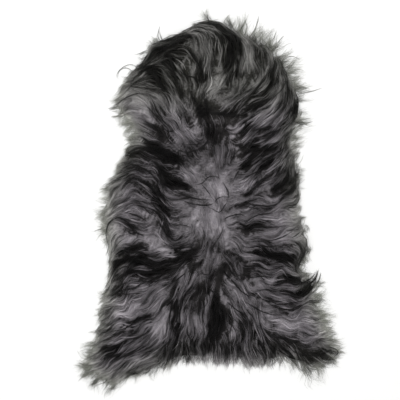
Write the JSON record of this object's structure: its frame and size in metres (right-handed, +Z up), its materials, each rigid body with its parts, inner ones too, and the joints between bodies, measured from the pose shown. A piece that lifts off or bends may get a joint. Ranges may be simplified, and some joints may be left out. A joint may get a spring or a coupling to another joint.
{
  "type": "long-haired sheepskin shag rug",
  "caption": "Shag rug made of a whole long-haired sheepskin, mottled black and grey, lying flat with its locks combed outwards over the edge.",
  "frame": {"origin": "on the floor under the middle of the whole pelt, locks included", "axes": "+Y along the spine towards the neck, +X to the right seen from above, +Z up"},
  "size_m": [0.7348, 1.0606, 0.0761],
  "materials": {
    "fleece": "long glossy wool in wavy locks, mottled black and grey",
    "hide": "pale suede flesh side of the tanned skin"
  },
  "bodies": {
    "root": {"pelt": "fleece"}
  },
  "joints": []
}
